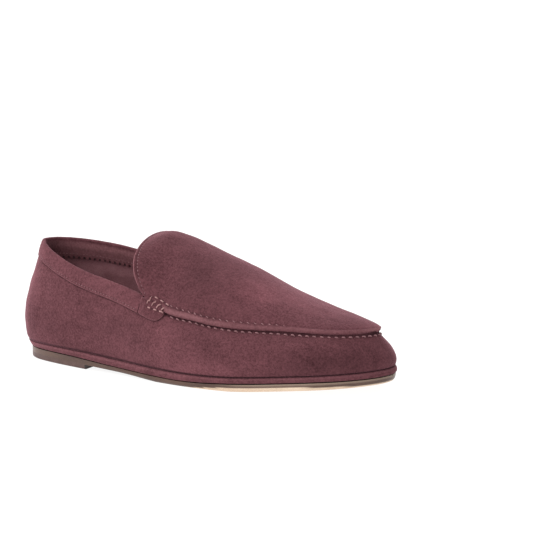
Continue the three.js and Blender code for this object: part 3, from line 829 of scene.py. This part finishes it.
def binding():
    """Suede strip folded over the topline. Its inside edge is pinked: small notches."""
    inside = BINDING_INSIDE - BINDING / 2
    outside = 0.1 + BINDING / 2
    rings_per_tooth = 10
    _, length = topline(2, inside, FACING_DEPTH)
    turns, _ = topline(int(length / PINK_PITCH) * rings_per_tooth + 1, inside, FACING_DEPTH)
    phase = np.arange(len(turns)) / rings_per_tooth % 1
    notch = np.clip((0.3 - np.abs(phase - 0.5)) / 0.12, 0, 1)[:, None]
    turns = turns[:, None]

    # Across the strip: its outer arm by distance from the edge, the fold by angle, its inner arm by share.
    outer_arm = np.concatenate([[0.02, 0.2, 0.5, 0.9], np.linspace(1.3, BINDING_DEPTH, 26)]) + 0 * turns
    angles = np.linspace(0, math.pi, 15)[1:-1][None]
    fold = 0 * angles + 0 * turns
    inner_share = np.concatenate([np.linspace(0, 0.86, 20), [0.92, 0.96, 0.985, 0.998]])[None]
    inner_depth = inner_share * (FACING_DEPTH - PINK_DEPTH * notch)
    depth = np.concatenate([BINDING_DEPTH - outer_arm, fold, inner_depth], 1)
    ends = smooth(0, 0.012, TOPLINE_TURN - np.abs(turns))
    puff = 0.45 * ends * np.sin(math.pi * np.clip(outer_arm / BINDING_DEPTH, 0, 1)) ** 0.7
    seam = -0.28 * hump(outer_arm, 1.6, 0.6)
    fold_inside = -1.4
    inner_off = mix(fold_inside, inside, smooth(0, 7, inner_depth)) - 0.1 * np.sin(math.pi * inner_share)
    bend = mix(outside, fold_inside, (1 - np.cos(angles)) / 2) + fold
    off = np.concatenate([outside + puff + seam, bend, inner_off], 1)
    crest = (outside - fold_inside) / 2 * 0.8
    past = np.concatenate([0 * outer_arm, crest * np.sin(angles) + fold, 0 * inner_depth], 1)
    place = wall(turns, below(turns, depth), off, past)

    swell = 0.16 * ripple(place, 22, 31) + 0.08 * ripple(place, 8, 32)
    normal = unit(np.cross(np.gradient(place, axis=1), np.gradient(place, axis=0)))
    facing = np.einsum("ijk,ijk->ij", normal, place - place.mean(1, keepdims=True))
    normal = normal * np.where(facing.mean(0) < 0, -1, 1)[None, :, None]
    inner_arm = (1 - inner_share) * inner_depth.max(1, keepdims=True)
    from_edge = np.concatenate([outer_arm, fold + 9, inner_arm], 1)
    half = (BINDING / 2 * edge_round(from_edge, 0.5))[..., None]
    centre = place + normal * (swell * 0.5)[..., None]
    outer, inner = centre + normal * half, centre - normal * half
    piece = make_piece("topline_binding_suede", *sheet(outer, inner), SUEDE_FINISH, "suede",
                       ["topline_binding"], 50)
    at_inner = np.concatenate([0 * outer_arm, fold, smooth(0, 3, inner_depth)], 1)
    at_heel = 1 - smooth(0.02, 0.09, np.abs(turns))
    # Painted shade along the sunken stitch line and on the inner arm inside the back of the heel.
    painted_shade = 0.4 * hump(from_edge, 1.6, 0.4) * (1 - at_inner) + 0.6 * at_inner * at_heel
    paint_both(piece, "painted_shade", painted_shade)
    # Lighter along the edges, partly rubbed wear, partly painted highlight; the whole inner arm painted
    # lighter as if lit.
    paint_both(piece, "rim", 0.35 * hump(from_edge, 0, 0.5) + 0.55 * at_inner)
    # The outer arm painted a little lighter.
    paint_both(piece, "nap_and_painted_light", 0.13 * (1 - at_inner))


# The turns at which the apron's rows meet its edge, for even shares of the way along it.
APRON_ALONG = np.linspace(0, 1, 600)
APRON_TURNS = open_spline(APRON_ROWS, APRON_ALONG)[:, 0]


def tab_surface(side, turn, down, off):
    """Points where the apron's corner flows into the tab: down mm from the wall's top edge.

    Above the edge, where down is below 0, they lie on the apron. side is 1 outside and -1 inside.
    """
    turn, down, off = same_shape(turn, down, off)
    along = np.interp(turn, APRON_TURNS, APRON_ALONG)
    near = 0.02  # share across the apron over which its width is measured
    edge = apron_base(along, 0.5 - 0.5 * side)
    share = -near * down / np.linalg.norm(apron_base(along, 0.5 - (0.5 - near) * side) - edge, axis=-1)
    normal = apron_normal(along, 0.5 - side * (0.5 - np.maximum(share, 0.004)))
    on_apron = apron_base(along, 0.5 - side * (0.5 - share)) + normal * (SUEDE + off)[..., None]
    bulge = 2.6 * (1 - smooth(0.5, 6.5, down))
    on_wall = wall(side * turn, below(turn, down), 0.1 + bulge + off)
    return mix(on_apron, on_wall, smooth(-1.6, 1.2, down)[..., None])


def row_down(turn):
    """How far down the row of stitches lies that closes the tab's lower end."""
    return mix(4.9, 3.5, smooth(0.003, 0.027, from_corner(turn)))


def tab_hang(share):
    """How far down the tab's rounded end lies, for a share of its width."""
    return 11.6 * (1 - 0.93 * share**5) ** 0.6


TAB_WIDTH = 0.0305  # in turns


def tab_outline(side):
    share = np.linspace(0, 1, 120)
    turn = TAB_START + TAB_WIDTH * share
    return wall(side * turn, below(turn, tab_hang(share)))


def tab(name, side, node):
    """Rounded tab that hangs from the apron's corner, beside the end of the binding."""
    share = ease(56, 0.6)[:, None]
    hang = tab_hang(share)
    head = mix(0.3, -4.2, smooth(0.08, 0.42, share))
    down = mix(hang, head, ease(48, 0.5)[None])
    width = mix(0.0245, TAB_WIDTH, smooth(-1, 4, down))
    turn = TAB_START + width * share
    base = tab_surface(side, turn, down, 0.0)
    step = np.linalg.norm(base[-1] - base[0], axis=-1)
    to_side = np.minimum(share, 1 - share) * step
    to_foot = hang - down
    edge = np.minimum(to_side, to_foot)
    low = smooth(2.5, 5, down)
    pull = 0.22 * np.cos(2 * math.pi * 4.5 * share) * hump(down, 5.5, 3.5)
    puff = 0.8 * smooth(0.3, 4, edge) * low + 0.1 * ripple(base, 9, 41)
    sunk = -0.75 * (1 - smooth(0, 1.6, down - head)) - 0.6 * (1 - low) * (1 - smooth(0, 1.5, to_side))
    half = BINDING / 2 * edge_round(edge, 0.5)
    middle = BINDING / 2 + puff + pull + sunk
    outer, inner = (tab_surface(side, turn, down, off) for off in (middle + half, middle - half))
    piece = make_piece(name, *sheet(outer, inner), SUEDE_FINISH, "suede", [node])
    # Lighter along the tab's edges, partly rubbed wear, partly painted highlight; painted shade under the
    # row of stitches that closes it.
    paint_both(piece, "rim", 0.3 * hump(edge, 0, 0.5))
    paint_sheet(piece, "painted_shade", 0.5 * hump(down, row_down(turn), 0.6) * smooth(0.1, 0.3, share), 0)


# ---------- Seams ----------

def surface_stitches(name, line_at, pitch, node, material, **shape):
    """Stitches on a surface. line_at(shift) is their line, moved by shift off the surface."""
    line = line_at(0)
    stitches(name, line, unit(line_at(0.5) - line), pitch, node, material, **shape)


def seams():
    """Individual stitches along every seam that shows."""
    turns, _ = topline(700, 1.0, BINDING_DEPTH)
    turns = turns[6:-6]

    def outer_line(shift):
        return wall(turns, below(turns, BINDING_DEPTH - 1.6), 0.1 + BINDING - 0.15 + shift)

    surface_stitches("binding_stitches_outer", outer_line, 2.6, "binding_thread_outer", FINE_THREAD,
                     radius=0.2, lift=0.05)

    def inner_line(shift):
        return wall(turns, below(turns, FACING_DEPTH - 4.6), BINDING_INSIDE - BINDING - 0.1 - shift)

    surface_stitches("binding_stitches_inner", inner_line, 2.4, "binding_thread_inner", FINE_THREAD,
                     radius=0.22, lift=0.08)

    across = np.linspace(0.03, 0.97, 500)

    def tongue_line(shift):
        return apron(tongue_row(2.6), across, SUEDE - 0.25 + shift)

    surface_stitches("tongue_stitches", tongue_line, 2.7, "tongue_thread", FINE_THREAD,
                     radius=0.24, lift=0.08)

    line, normals = apron_seam(SUEDE - 0.2)
    run = lengths(line)
    sink = 0.62 * smooth(60, 95, run) * smooth(60, 95, run[-1] - run)
    stitches("apron_edge_stitches", line - normals * sink[:, None], normals, SEAM_PITCH,
             "apron_edge_thread", THREAD, radius=0.32, lift=0.2, share=0.42, slant=0.45)

    past_tab = 0.029
    seam_turns = np.linspace(APRON_START + past_tab, APRON_END - past_tab, 1500)
    depth = 1.65 + sag(seam_turns)

    def crease_line(shift):
        return wall(seam_turns, below(seam_turns, depth), -0.1 - 0.35 * prow(seam_turns) + shift)

    surface_stitches("moccasin_stitches", crease_line, SEAM_PITCH, "moccasin_thread", THREAD,
                     radius=0.5, lift=0.25, share=0.57, slant=0.3)


def tongue_row(inset):
    """How far along the apron the row lies that is inset mm from the tongue's edge."""
    along = np.linspace(0, 0.08, 200)
    run = lengths(apron_base(along, 0.5))
    return float(np.interp(inset, run, along))


def apron_seam(off):
    """The line on the apron where its lip is stitched, and its normals."""
    alongs = np.concatenate([np.linspace(0.18, 0.9, 300), np.linspace(0.9, 0.996, 160)[1:]])
    shares = np.linspace(0, 0.5, 240)
    edge = apron_edge(np.linspace(APRON_START, APRON_END, 1500))
    outer, inner = [], []
    for along in alongs:
        inset = lip_width(np.interp(along, APRON_ALONG, APRON_TURNS))
        from_outer, _ = distance_to(apron_base(along, shares), edge)
        from_inner, _ = distance_to(apron_base(along, 1 - shares), edge)
        if from_outer.max() < inset:
            break
        outer.append((along, np.interp(inset, np.maximum.accumulate(from_outer), shares)))
        inner.append((along, 1 - np.interp(inset, np.maximum.accumulate(from_inner), shares)))
    along, across = np.array(outer + inner[::-1]).T
    return apron(along, across, off), apron_normal(along, across)


def whip_strokes():
    """For each stroke its turn and depth at both ends, the height of its middle and its radius."""
    strokes = []
    for k in range(4):  # slanted ones from the tab up to the apron
        foot = CORNER + 0.0028 + 0.0061 * k
        head = foot + 0.0067 - 0.0012 * k
        strokes.append((head, -4.4 + 1.7 * k, foot, 3.7 - 0.15 * k, BINDING + 0.35, 0.42))
    for k in range(3):  # a short one on the apron, then one that closes the tab
        start = CORNER + 0.0126 + 0.0062 * k
        strokes.append((start, -4.7 + 0.75 * k, start + 0.0036, -4.2 + 0.8 * k, 0.35, 0.46))
        start = CORNER + 0.0049 + 0.0073 * k
        end = start + 0.0042
        strokes.append((start, row_down(start), end, row_down(end), BINDING + 0.85, 0.5))
    return strokes


def whip(name, side, node):
    """Thick thread that ties the tab to the apron: slanted strokes between two rows of short ones."""
    t = np.linspace(0, 1, 14)
    threads = []
    for turn_a, down_a, turn_b, down_b, height, radius in whip_strokes():
        turn, down = mix(turn_a, turn_b, t), mix(down_a, down_b, t)
        path = tab_surface(side, turn, down, height - 1.5 * np.abs(2 * t - 1) ** 8)
        out = unit(tab_surface(side, turn, down, 1.0) - tab_surface(side, turn, down, 0.0))
        threads.append(tube(path, out, radius))
    make_piece(name, *join(threads), TAB_THREAD, "thread", [node])


# ---------- Bottom ----------

# Heights of the layers at a place x along the foot.
SOLE_TOP = above(-2 * GAP - RAND_HEIGHT)


def sole_bottom(x):
    return np.maximum(SOLE_TOP(x) - mix(SOLE_BACK, SOLE_FRONT, smooth(95, 140, x)), 0)


def lift_bottom(x):
    return sole_bottom(x) - GAP - HEEL_LIFT


def ground(x):
    return 0 * x


def just_under(height):
    return lambda x: height(x) - 0.02


def tuck(turn):
    """How much smaller the bottom is than the upper's outline."""
    return HEEL_TUCK * (1 - smooth(0.07, 0.17, from_back(turn)))


def half_turns(count, last):
    """Turns from the back to a last one, closer together at both ends, off the back and the tip."""
    off = 0.0006
    return np.clip(last * (1 - np.cos(np.linspace(0, math.pi, count))) / 2, off, 0.5 - off)


def rim_rise(x):
    """How much higher the outsole's rim and the rand's foot lie than the outsole's upper face."""
    front = smooth(140, 185, x) * (1 - 0.5 * smooth(235, 280, x))
    return 0.6 * (1 - smooth(40, 90, x)) + 1.1 * front


def rand():
    """Suede-covered strip round the whole shoe, its outer face rounded like a bead."""
    turns = np.linspace(0, 1, 560, endpoint=False)[:, None]
    fall = ease(15, 0.55)[None]

    def face(out, top, longer):
        """A face from top above the feather line down by longer than the rand's height."""
        return outline_point(
            turns, out, lambda x: feather(x) + top - (RAND_HEIGHT + longer - rim_rise(x)) * fall)

    bulge = (4 * fall * (1 - fall)) ** 0.42
    proud = (RAND_PROUD - 0.3 * tuck(turns)) * bulge
    uneven = 0.1 * ripple(outline_point(turns, 0 * fall, above(0.0)), 16, 51)
    outer = face(mix(-0.5, 0.4 - tuck(turns), fall) + proud + uneven, 0.1, 0.4)
    inner = face(0 * fall - 6.5, -0.15, 0.15)
    piece = make_piece("rand_suede", *sheet(outer, inner, True), SUEDE_FINISH, "suede", ["rand"])
    level = 0 * turns
    # Painted shade in the groove above the bead, in the line under it and on the hidden inner face; a
    # painted highlight along the bead's upper round; the whole strip painted a little lighter.
    painted_shade = 0.8 * hump(fall, 0, 0.05) + 0.7 * hump(fall, 1, 0.07)
    paint_sheet(piece, "painted_shade", painted_shade + level, 0.9)
    paint_sheet(piece, "rim", 0.25 * hump(fall, 0.25, 0.15) + level, 0)
    paint_sheet(piece, "nap_and_painted_light", 0.12 + 0 * fall + level, 0)


DISC_RINGS = 220


def disc(name, edge, top, bottom, last, material, slot, node, sharp, rim=None):
    """A layer inside the outline, from the heel to a last turn on either side.

    edge is a list of (inset at the heel, inset in front of it, share of the height down). rim is the height
    its edge starts from where that is not the top's.
    """
    rim = rim or top
    turns = half_turns(DISC_RINGS, last)
    across = np.linspace(0, 1, 25)[None, 1:-1, None]

    def row(insets, height):
        """Points on the outer side and on the inner side, inset from the outline."""
        out = -mix(*insets, smooth(0.14, 0.19, turns)) - tuck(turns)
        return [outline_point(way * turns, out, height)[:, None] for way in (1, -1)]

    def flat(start, end, height):
        """The points between two lines."""
        middle = mix(start, end, across)
        middle[..., 2] = height(middle[..., 0])
        return middle

    sides = [row(insets, lambda x, s=share: mix(rim(x), bottom(x), s)) for *insets, share in edge[1:]]
    top_left, top_right = row(edge[0][:2], top)
    low_left, low_right = row(edge[-1][:2], bottom)
    upper = [top_left, flat(top_left, top_right, top), top_right]
    lower = [right for left, right in sides] + [flat(low_right, low_left, bottom)]
    rings = np.concatenate(upper + lower + [left for left, right in sides[::-1]], 1)
    count = rings.shape[1]
    faces = ring_faces(len(rings), count, False) + end_caps(len(rings), count)
    return make_piece(name, *outward(rings.reshape(-1, 3), faces), material, slot, [node], sharp)


def bottoms():
    """Outsole with an upright edge above a bevel, and the heel's two layers, flush with it."""
    upright = [(0.0, -0.1, 0), (-0.4, -0.5, 0.06), (-0.45, -0.55, 0.2), (-0.45, -0.5, 0.42)]
    bevel = [(-0.45, -0.4, 0.55), (-0.45, -0.15, 0.72), (-0.45, 0.25, 0.88), (-0.45, 0.8, 1)]
    sole = disc("outsole_leather", upright + bevel, SOLE_TOP, sole_bottom, 0.5, SOLE, "sole_leather",
                "outsole", 35, sole_rim)
    stain_sole(sole)
    block = [(-0.45, -0.45, 0), (-0.45, -0.45, 0.5), (-0.45, -0.45, 1)]
    lift = disc("heel_lift_leather", block, just_under(sole_bottom), lift_bottom, HEEL_FRONT, HEEL,
                "sole_leather", "heel_lift", 35)
    darken_front(lift)
    block = [(-0.45, -0.45, 0), (-0.4, -0.4, 0.4), (-0.1, -0.1, 0.75), (0.5, 0.5, 0.93), (1.1, 1.1, 1)]
    piece = disc("heel_top_piece_rubber", block, just_under(lift_bottom), ground, HEEL_FRONT, HEEL_RUBBER,
                 "heel_rubber", "heel_top_piece", 35)
    darken_front(piece)


def sole_rim(x):
    return SOLE_TOP(x) + rim_rise(x)


def darken_front(layer):
    """Painted shade: the heel's front face, which stands in shadow, is painted dark. Its vertices are the
    last ring's.
    """
    front_shade = np.zeros((DISC_RINGS, len(layer.data.vertices) // DISC_RINGS))
    front_shade[-1] = 1
    paint(layer, "painted_shade", front_shade)


def stain_sole(sole):
    """Stained behind the waist. In front of it the edge's lower layer and the underside are natural, and a
    highlight is painted along the edge's upper shoulder.
    """
    points = np.empty(len(sole.data.vertices) * 3)
    sole.data.vertices.foreach_get("co", points)
    x, _, z = (points.reshape(-1, 3) / MM - SHIFT).T
    share = (z - sole_bottom(x)) / np.maximum(sole_rim(x) - sole_bottom(x), 0.1)
    layer = mix(-0.1, 0.5, smooth(140, 182, x)) - 0.32 * smooth(222, 282, x)
    # Painted highlight: less stain along the edge's upper shoulder in front, so the natural colour shows as
    # a light line.
    painted_highlight = 0.4 * hump(share, 0.88, 0.1) * smooth(165, 200, x)
    paint(sole, "stain", smooth(layer - 0.03, layer + 0.03, share) * (1 - painted_highlight))


def footbed():
    """Sock lining over a foam pad under the heel."""
    board_top = SUEDE + GAP + INSOLE
    pad_bottom = board_top + GAP
    edge_inset = SUEDE + STIFFENER + LINING + 3 * GAP + 0.2

    turns = half_turns(240, 0.5)[:, None]
    share = ease(40, 0.5)[None, :, None]

    def sock_face(thick):
        """The sock lining's underside, or thick above it. Its rim is turned up against the lining."""
        def height(x):
            return feather(x) + pad_bottom + (HEEL_PAD + GAP) * (1 - smooth(66, 90, x)) + thick

        left, right = (outline_point(way * turns, 1.2 - edge_inset, height) for way in (1, -1))
        rows = mix(left, right, share)
        from_side = np.minimum(share, 1 - share)[..., 0] * np.linalg.norm(left - right, axis=-1)
        rows[..., 2] = height(rows[..., 0]) + 1.4 * hump(from_side, 0, 4.0)
        return rows

    lining("sock_lining_leather", sock_face(SOCK), sock_face(0), "sock_lining")

    side = edge_inset - HEEL_TUCK + 1.1
    rounded = side + 0.5
    pad_edge = [(rounded, rounded, 0), (side, side, 0.3), (side, side, 0.7), (rounded, rounded, 1)]
    pad = disc("heel_pad_foam", pad_edge, above(pad_bottom + HEEL_PAD), above(pad_bottom), 0.14, FOAM,
               "foam", "heel_pad", 40)


def finish_cad_nodes():
    """Finishes for the CAD pieces that show as they are."""
    finishes = {
        "heel_counter": STIFF_BOARD, "toe_puff": STIFF_BOARD, "bottom_filler": CORK, "shank": STEEL,
        "insole_board": BOARD, **{f"heel_nail_{k}": STEEL for k in range(1, 6)},
    }
    for node, material in finishes.items():
        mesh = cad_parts[node].data
        mesh.materials.clear()
        mesh.materials.append(material)


# ---------- Studio ----------

FLOOR = -0.1 * MM  # clear of the sole, which stands at 0


def studio():
    """White all round, a grey-white floor and soft light from three sides."""
    corners = [(6 * x, 6 * y, FLOOR) for x, y in ((-1, -1), (1, -1), (1, 1), (-1, 1))]
    mesh = bpy.data.meshes.new("floor")
    mesh.from_pydata(corners, [], [(0, 1, 2, 3)])
    floor = add_object("floor", mesh)
    n = Nodes("floor")
    grey = n.ramp(n.noise(400, 1), 0, 1, (108, 108, 108), (112, 112, 112))
    mesh.materials.append(n.set(Base_Color=grey, Roughness=0.9, Emission_Color=(255, 255, 255),
                                Emission_Strength=0.9))
    white_world(0.27)
    sun("key", (-0.15, -0.85, 0.5), 100, 2.3)
    sun("behind", (-0.78, 0.45, 0.42), 100, 4.2)
    sun("overhead", (0, 0, 1), 120, 0.55)
    view = bpy.context.scene.view_settings
    view.view_transform = "Standard"
    view.look = "None"


def white_world(light):
    """The camera sees pure white, but only that share of it lights the shoe."""
    world = bpy.data.worlds.new("studio")
    bpy.context.scene.world = world
    world.use_nodes = True
    tree = world.node_tree
    background = tree.nodes["Background"]
    background.inputs[0].default_value = (1, 1, 1, 1)
    seen = tree.nodes.new("ShaderNodeLightPath").outputs["Is Camera Ray"]
    strength = tree.nodes.new("ShaderNodeMapRange")
    strength.inputs["To Min"].default_value = light
    strength.inputs["To Max"].default_value = 1.0
    tree.links.new(seen, strength.inputs["Value"])
    tree.links.new(strength.outputs[0], background.inputs[1])


def looking_back(direction):
    """The rotation of a light or camera that stands in a direction and looks back along it."""
    return (-direction).to_track_quat("-Z", "Y").to_euler()


def sun(name, direction, softness, power):
    """Even light from a direction. softness is the width of its source in degrees."""
    light = bpy.data.lights.new(name, "SUN")
    light.angle = math.radians(softness)
    light.energy = power
    add_object(name, light).rotation_euler = looking_back(Vector(direction))


def camera():
    azimuth, elevation, distance = math.radians(27.69), math.radians(9.77), 1800 * MM
    view_width = 359.4 * MM  # what the picture spans at the target
    target = Vector((np.array([185.5, 0, 77.0]) + SHIFT) * MM)
    data = bpy.data.cameras.new("camera")
    data.sensor_width = 36
    data.lens = data.sensor_width * distance / view_width
    data.clip_end = 20
    level = math.cos(elevation)
    direction = Vector((math.sin(azimuth) * level, -math.cos(azimuth) * level, math.sin(elevation)))
    holder = add_object("camera", data)
    holder.location = target + direction * distance
    holder.rotation_euler = looking_back(direction)
    bpy.context.scene.camera = holder


camera()
studio()
side_wall()
apron_suede()
linings()
binding()
tab("outer_tab_suede", 1, "outer_tab")
tab("inner_tab_suede", -1, "inner_tab")
seams()
whip("outer_whip_stitches", 1, "outer_whip_thread")
whip("inner_whip_stitches", -1, "inner_whip_thread")
rand()
bottoms()
footbed()
finish_cad_nodes()
